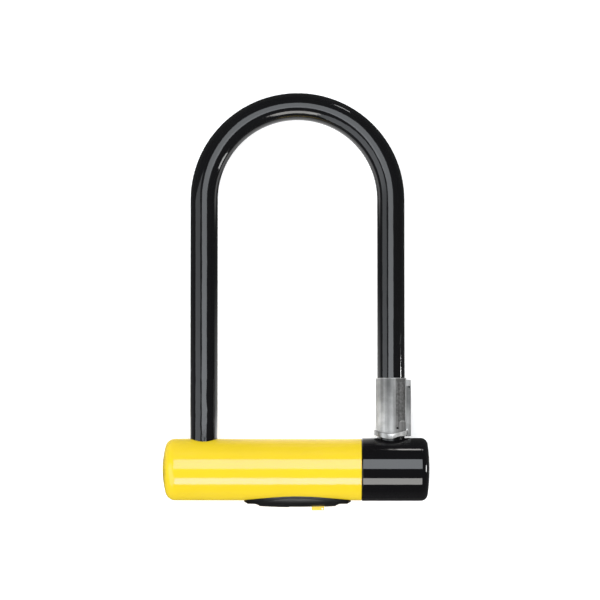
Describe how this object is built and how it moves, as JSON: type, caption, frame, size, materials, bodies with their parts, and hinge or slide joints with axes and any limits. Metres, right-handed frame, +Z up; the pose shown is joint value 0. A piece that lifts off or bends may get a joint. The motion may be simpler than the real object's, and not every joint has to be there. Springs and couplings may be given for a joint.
{
  "type": "U-lock",
  "caption": "Bicycle U-lock with a black coated shackle, yellow and black jacketed crossbar, keyway cover and bracket collar.",
  "frame": {"origin": "middle of the outline, on the surface that the lock lies on", "axes": "+X along the crossbar towards the black cap, +Y from the crossbar to the arch, +Z up off the surface"},
  "size_m": [0.1696, 0.266, 0.04],
  "materials": {
    "black_vinyl": "gloss",
    "yellow_vinyl": "gloss",
    "cover_plastic": "satin",
    "collar_metal": "bare casting",
    "hardened_steel": "satin",
    "lock_brass": "machined",
    "guide_plastic": "moulded"
  },
  "bodies": {
    "crossbar": {"yellow_jacket": "yellow_vinyl", "black_end_cap": "black_vinyl", "armour_sleeve": "hardened_steel", "lock_tube": "hardened_steel", "end_plugs": "hardened_steel", "end_pins": "hardened_steel", "bolt_guides": "guide_plastic", "guide_pins": "hardened_steel", "cylinder_body": "lock_brass", "cylinder_pin": "hardened_steel", "front_guard": "hardened_steel", "keyway_cover": "cover_plastic", "backing_plate": "cover_plastic"},
    "plug": {"disc_carrier": "lock_brass", "plug_face": "lock_brass", "locking_discs": "lock_brass", "disc_spacers": "lock_brass", "sidebar": "hardened_steel", "pinion": "hardened_steel", "pinion_screw": "hardened_steel"},
    "left_bolt": {"left_bolt": "hardened_steel"},
    "right_bolt": {"right_bolt": "hardened_steel"},
    "shutter": {"shutter": "yellow_vinyl"},
    "shackle": {"shackle_bar": "hardened_steel", "shackle_coat": "black_vinyl", "bracket_collar": "collar_metal"}
  },
  "joints": [
    {"name": "shackle_pull", "type": "slide", "parent": "crossbar", "child": "shackle", "axis": [0, 1, 0], "range_m": [0, 0.05]},
    {"name": "key_turn", "type": "hinge", "parent": "crossbar", "child": "plug", "pos_m": [0.00095, -0.11405, 0.02], "axis": [0, 1, 0], "range_deg": [0, 90]},
    {"name": "right_bolt_throw", "type": "slide", "parent": "crossbar", "child": "right_bolt", "axis": [1, 0, 0], "range_m": [0, 0.00785]},
    {"name": "left_bolt_throw", "type": "slide", "parent": "crossbar", "child": "left_bolt", "axis": [-1, 0, 0], "range_m": [0, 0.00786]},
    {"name": "shutter_slide", "type": "slide", "parent": "crossbar", "child": "shutter", "axis": [1, 0, 0], "range_m": [-0.013, 0]}
  ],
  "couplings": [
    {"joint": "key_turn", "follows": "right_bolt_throw", "rad_per_m": 200},
    {"joint": "left_bolt_throw", "follows": "right_bolt_throw", "ratio": 1}
  ]
}
